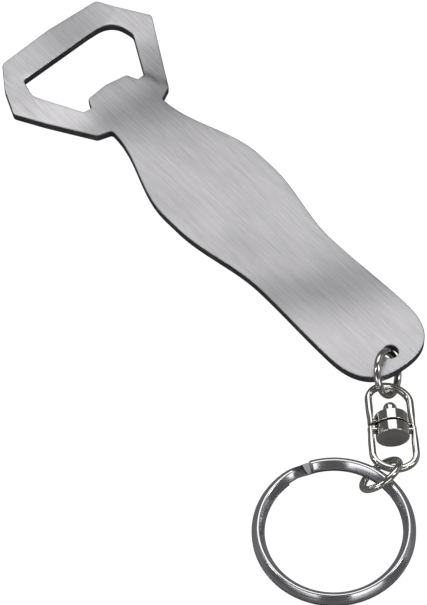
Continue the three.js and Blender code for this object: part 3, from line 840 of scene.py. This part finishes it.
# %% Sizes of the swivel
BAIL_WIRE, BAIL_DEPTH, BAIL_LENGTH, ARCH = 1.3, 1.5, 9.1, 3.4
COLLAR, COLLAR_WALL, STRAP, STRAP_WIDTH = 6.3, 0.45, 0.6, 1.7
SPLIT_GAP, FIT = 0.175, 0.3
PIN, PIN_HEAD, PIN_HEAD_SIDE, PIN_TAIL, PIN_TAIL_HEIGHT = 1.2, 2.6, 1.4, 2.6, 0.25
EYE, EYE_HOLE, STRAP_ROOT = 1.7, PIN / 2 + FIT, 1.2
FLATTENED, PINCHED, SPREAD = 2.4, 0.22, 0.16
UPPER_ROLL, LOWER_ROLL = 14, 5
strap_start = SPLIT_GAP + FIT
strap_end = strap_start + STRAP
collar_floor = strap_end + 2 * FIT + PIN_TAIL_HEIGHT
collar_end = collar_floor + COLLAR_WALL
leg = (COLLAR + 2 * FIT + BAIL_WIRE) / 2
print(f"collars {COLLAR} mm wide, bails {2 * leg:.1f} mm from leg to leg")


def half_axes(along, roll):
    """Across the bail, out of its plane, and along the swivel, rolled about the swivel."""
    across = unit(np.cross(UP, down_chain))
    beside = np.cross(down_chain, across)
    turn = np.radians(-roll)
    rolled = np.cos(turn) * across + np.sin(turn) * beside
    return rolled, np.cross(along, rolled), along


# %% [markdown]
# A bail is three simple shapes in one mesh: the bow, a flat strap inwards from each leg, and
# the eye that goes round the pin. The wire is pinched and spread where it was flattened.

# %% Bails
def make_bail(name, node, body, axes):
    """Straight legs, then half an ellipse: (leg cos t, height + arch sin t)."""
    across, out, along = axes
    top = BAIL_LENGTH - ARCH
    legs = np.concatenate([[SPLIT_GAP, SPLIT_GAP + 0.06],
                           np.linspace(SPLIT_GAP + 0.3, top, 26)[:-1]])
    turn = np.linspace(0, np.pi, 90)
    side = np.concatenate([np.full(len(legs), leg), leg * np.cos(turn), np.full(len(legs), -leg)])
    height = np.concatenate([legs, top + ARCH * np.sin(turn), legs[::-1]])
    centres = split_middle + MM * (side[:, None] * across + height[:, None] * along)
    run = np.gradient(centres, axis=0)
    run /= np.linalg.norm(run, axis=1, keepdims=True)
    outward = np.cross(run, out)
    flatten = 1 - smooth_step(height, strap_end, strap_end + FLATTENED)
    section = round_section(BAIL_WIRE, BAIL_DEPTH, 2.5)[None]
    squeeze = np.stack([1 - PINCHED * flatten, 1 + SPREAD * flatten], axis=1)[:, None, :]
    shell = Shell()
    add_sweep(shell, centres, outward, np.broadcast_to(out, centres.shape),
              section * squeeze * eased_ends(len(centres)))
    middle_height = (strap_start + strap_end) / 2
    for side in (-1, 1):
        reach = side * np.linspace(STRAP_ROOT, leg, 20)
        strap = split_middle + MM * (reach[:, None] * across + middle_height * along)
        add_sweep(shell, strap, np.broadcast_to(out, strap.shape),
                  np.broadcast_to(along, strap.shape), round_section(STRAP_WIDTH, STRAP, 5))
    eye = rounded_loop([(EYE_HOLE, strap_start, 0.05), (EYE, strap_start, 0.08),
                        (EYE, strap_end, 0.08), (EYE_HOLE, strap_end, 0.05)], 0.06)
    add_turned(shell, eye, split_middle, axes, sides=64)
    shell.build(name, body, [node], [nickel])


upper_axes = half_axes(-down_chain, UPPER_ROLL)
lower_axes = half_axes(down_chain, LOWER_ROLL)
make_bail("upper_bail_wire", "upper_bail", "swivel_upper", upper_axes)
make_bail("lower_bail_wire", "lower_bail", "swivel_lower", lower_axes)


# %% [markdown]
# The collars and the pin are turned shapes, so each is a profile turned about the swivel's
# axis. Small rounds at their edges catch the light, as pressed and tumbled parts do. Only
# the upper collar has a hole, because the pin's tail is hidden inside the lower one. The slot
# for the straps is cut with a Boolean, because it isn't round.

# %% Collars
def rectangle(width, height):
    """Four corners about the middle."""
    return np.array([(-1, -1), (1, -1), (1, 1), (-1, 1)]) * (width / 2, height / 2) * MM


def make_collar(name, node, body, axes, holed):
    """A cup, open towards the other half and slotted where the straps enter."""
    outer, bore = COLLAR / 2, COLLAR / 2 - COLLAR_WALL
    cup = [(bore, collar_floor, 0.1), (bore, SPLIT_GAP, 0.08), (outer, SPLIT_GAP, 0.12),
           (outer, collar_end, 0.16)]
    if holed:
        corners = [(EYE_HOLE, collar_floor, 0.05), *cup, (EYE_HOLE, collar_end, 0.05)]
        profile = rounded_loop(corners, 0.07)
    else:
        profile = rounded_profile([(0, collar_floor, 0), *cup, (0, collar_end, 0)])
    across, out, along = axes
    reach = split_middle + MM * (np.linspace(-COLLAR, COLLAR, 4)[:, None] * across)
    slot = Shell()
    add_sweep(slot, reach, np.broadcast_to(out, reach.shape), np.broadcast_to(along, reach.shape),
              rectangle(STRAP_WIDTH + 2 * FIT, 2 * (strap_end + FIT)))
    shell = Shell()
    add_turned(shell, profile, split_middle, axes, sides=96)
    shell.build(name, body, [node], [nickel], slots=[slot])


make_collar("upper_collar_cup", "upper_collar", "swivel_upper", upper_axes, True)
make_collar("lower_collar_cup", "lower_collar", "swivel_lower", lower_axes, False)


# %% [markdown]
# The pin holds the two halves together and lets one turn on the other. Its head shows above
# the upper collar, and its spread tail sits in the lower one.

# %% Pin
def make_pin():
    """Half a ball on a short side above the upper collar, shank, and a flat tail below."""
    turn = np.linspace(0, np.pi / 2, 16)
    under, ball = collar_end + FIT, PIN_HEAD / 2
    tail_top, tail = -(strap_end + FIT), PIN_TAIL / 2
    rest = rounded_profile([
        (0, tail_top - PIN_TAIL_HEIGHT, 0), (tail, tail_top - PIN_TAIL_HEIGHT, 0.06),
        (tail, tail_top, 0.06), (PIN / 2, tail_top, 0.05), (PIN / 2, under, 0.05),
        (ball, under, 0.25), (ball, under + PIN_HEAD_SIDE, 0)], steps=4)
    dome = np.stack([ball * np.cos(turn), under + PIN_HEAD_SIDE + ball * np.sin(turn)], axis=1)
    dome[-1, 0] = 0
    shell = Shell()
    add_turned(shell, np.concatenate([rest, dome[1:]]), split_middle, upper_axes, sides=64)
    shell.build("ball_headed_pin", "swivel_upper", ["swivel_pin"], [nickel])


make_pin()


# %% [markdown]
# ## The split key ring
# One strip of profiled wire goes round twice. Each coil is flat where it meets the other and
# slopes to a narrow ridge, and between them the strip climbs steeply, and its section turns
# over as it goes. Carrying the section along that path gives both coils at once. Where the
# flat sides lie on each other, the strip's colour is made darker.

# %% Key ring
KEY_RING, KEY_WIDTH, KEY_HEIGHT, RIDGE, EDGE, COIL_GAP = 30.0, 2.4, 1.6, 0.4, 0.35, 0.2
CROSSOVER, CROSSOVER_PLACE, END_GAP, LONGER_END = 14.0, 245.0, 2.5, 1.6
RING_HEADING, RING_SLOPE = -77.5, -4.15
# The second number is how much darker the colour is made on the flat feet, where the coils lie on
# each other.
FOOT_LEVEL, FOOT_DARKENING, END_ROUNDING = 0.45, 0.72, 0.06


def strip_section():
    """The upper coil's section: a flat foot, two short edges, two slopes and a ridge."""
    foot, top, ridge = KEY_WIDTH / 2, KEY_HEIGHT / 2, RIDGE / 2
    edge = EDGE - top
    half_loop = rounded_profile([(0, -top, 0), (foot, -top, 0.1), (foot, edge, 0.14),
                                 (ridge, top, 0.13), (0, top, 0)])
    mirrored = half_loop[::-1][1:-1] * (-1, 1)
    return np.concatenate([half_loop, mirrored]) * MM


def make_key_ring():
    """Lower coil, climb (1 - cos(pi share)) / 2, upper coil, about the ring's own axis."""
    hook, across = joint("key_ring_swing")
    ring_down = direction(RING_HEADING, RING_SLOPE)
    normal = np.cross(ring_down, across)
    radius = (KEY_RING - KEY_WIDTH) / 2
    centre = hook + MM * radius * ring_down
    coil = 360 - CROSSOVER - 2 * END_GAP
    start = CROSSOVER_PLACE + CROSSOVER / 2 + 2 * END_GAP
    lower = start + coil * np.concatenate([[0, 0.0006], np.linspace(0.004, 1, 220)])
    climb = lower[-1] + CROSSOVER * np.linspace(0, 1, 26)[1:]
    upper = climb[-1] + (coil + LONGER_END) * np.concatenate([np.linspace(0, 0.996, 220)[1:],
                                                              [0.9994, 1]])
    degrees = np.concatenate([lower, climb, upper])
    share = np.clip((degrees - lower[-1]) / CROSSOVER, 0, 1)
    rise = (1 - np.cos(np.pi * share)) / 2
    turn = np.radians(degrees)
    out = np.cos(turn)[:, None] * ring_down + np.sin(turn)[:, None] * across
    lift = (KEY_HEIGHT + COIL_GAP) / 2 * (2 * rise - 1)
    centres = centre + MM * (radius * out + lift[:, None] * normal)
    over = strip_section()
    under = np.roll(-over, len(over) // 2, axis=0)
    sections = under + (over - under) * rise[:, None, None]
    foot_over = over[:, 1] < -FOOT_LEVEL * KEY_HEIGHT * MM
    foot_under = under[:, 1] > FOOT_LEVEL * KEY_HEIGHT * MM
    # Darker colour on the flat feet, where the two coils lie on each other.
    darker_feet = foot_under * (1 - rise[:, None]) + foot_over * rise[:, None]
    shell = Shell()
    add_sweep(shell, centres, out, np.broadcast_to(normal, out.shape),
              sections * eased_ends(len(degrees), END_ROUNDING), 1 - FOOT_DARKENING * darker_feet)
    shell.build("key_ring_strip", "key_ring", ["split_key_ring"],
                [drawn_steel])


make_key_ring()


# %% [markdown]
# ## Floor, light and camera
# Bright metal shows what is round it. A white floor under it would wash it out, and a dark
# floor would spoil the plain ground. So the floor glows white only for rays that come
# straight from the camera, and stays grey for the rays that light the metal.

# %% Floor
FLOOR_SIZE, FLOOR_GLOW, FLOOR_GREY = 3.0, 0.035, 0.2


def add_floor():
    """A large pale square under the lowest point."""
    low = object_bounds()[0]
    corners = [(side * FLOOR_SIZE, end * FLOOR_SIZE, low[2])
               for side, end in ((-1, -1), (1, -1), (1, 1), (-1, 1))]
    mesh = bpy.data.meshes.new("pale_floor")
    mesh.from_pydata(corners, [], [(0, 1, 2, 3)])
    floor = bpy.data.objects.new("pale_floor", mesh)
    bpy.context.collection.objects.link(floor)
    material = bpy.data.materials.new("pale_floor")
    material.use_nodes = True
    tree = material.node_tree
    shader = tree.nodes["Principled BSDF"]
    shader.inputs["Base Color"].default_value = (FLOOR_GREY, FLOOR_GREY, FLOOR_GREY, 1)
    shader.inputs["Roughness"].default_value = 0.9
    shader.inputs["Emission Color"].default_value = (1, 1, 1, 1)
    rays = tree.nodes.new("ShaderNodeLightPath")
    glow = ranged(tree, rays.outputs["Is Camera Ray"], 0, 1, FLOOR_GLOW, 1)
    tree.links.new(glow, shader.inputs["Emission Strength"])
    mesh.materials.append(material)
    print("floor at", round(low[2], 5))


add_floor()


# %% [markdown]
# Large soft lights give long gradients on brushed metal, and narrow ones give thin bright
# lines on the wires. The largest hangs high on the far side, where the plate mirrors it to
# the camera. The others stand in pairs, turned by the same angle to either side of the
# camera.

# %% Lights
CAMERA_HEADING = 140.7
PAIRED_LIGHTS = [  # name, angle to either side of the camera, height, size, power
    ("low_card", 34, 21, (0.6, 0.36), 1.1),
    ("side_card", 100, 12, (0.6, 0.4), 0.2),
    ("side_strip", 80, 45, (0.12, 0.5), 1.3),
]
ROOM_COLOUR, ROOM_STRENGTH = (0.5, 0.5, 0.51, 1), 0.2


def soft_light(name, heading, height, distance, size, power):
    """An area light at a heading and height angle, aimed at the middle."""
    place = direction(heading, height) * distance
    lamp = bpy.data.lights.new(name, "AREA")
    lamp.shape = "RECTANGLE"
    lamp.size, lamp.size_y = size
    lamp.energy = power
    light = bpy.data.objects.new(name, lamp)
    light.location = place
    light.rotation_euler = Vector(-place).to_track_quat("-Z", "Y").to_euler()
    bpy.context.collection.objects.link(light)


soft_light("overhead", CAMERA_HEADING, 58, 0.9, (0.8, 0.5), 1.85)
for side in (-1, 1):
    for name, turned, height, size, power in PAIRED_LIGHTS:
        soft_light(name, CAMERA_HEADING + 180 + side * turned, height, 1.0, size, power)
world = bpy.data.worlds.new("room")
world.use_nodes = True
background = world.node_tree.nodes["Background"]
background.inputs["Color"].default_value = ROOM_COLOUR
background.inputs["Strength"].default_value = ROOM_STRENGTH
bpy.context.scene.world = world
bpy.context.scene.view_settings.view_transform = "Standard"
print("lights:", [light.name for light in bpy.data.lights])


# %% [markdown]
# A long lens from a little over half a metre keeps the perspective mild. The camera stands
# beyond the tail, off to one side, and looks down steeply, so that the whole plate shows.

# %% Camera
CAMERA_PITCH, CAMERA_DISTANCE, LENS = 55.0, 0.5575, 171.4
aim = np.array([0.001976, -0.001699, 0.0])
looking = direction(CAMERA_HEADING, -CAMERA_PITCH)
camera_data = bpy.data.cameras.new("camera")
camera_data.lens, camera_data.sensor_width = LENS, 36.0
camera = bpy.data.objects.new("camera", camera_data)
camera.location = Vector(aim - looking * CAMERA_DISTANCE)
camera.rotation_euler = Vector(looking).to_track_quat("-Z", "Y").to_euler()
bpy.context.collection.objects.link(camera)
bpy.context.scene.camera = camera
print("camera at", [round(v, 3) for v in camera.location])
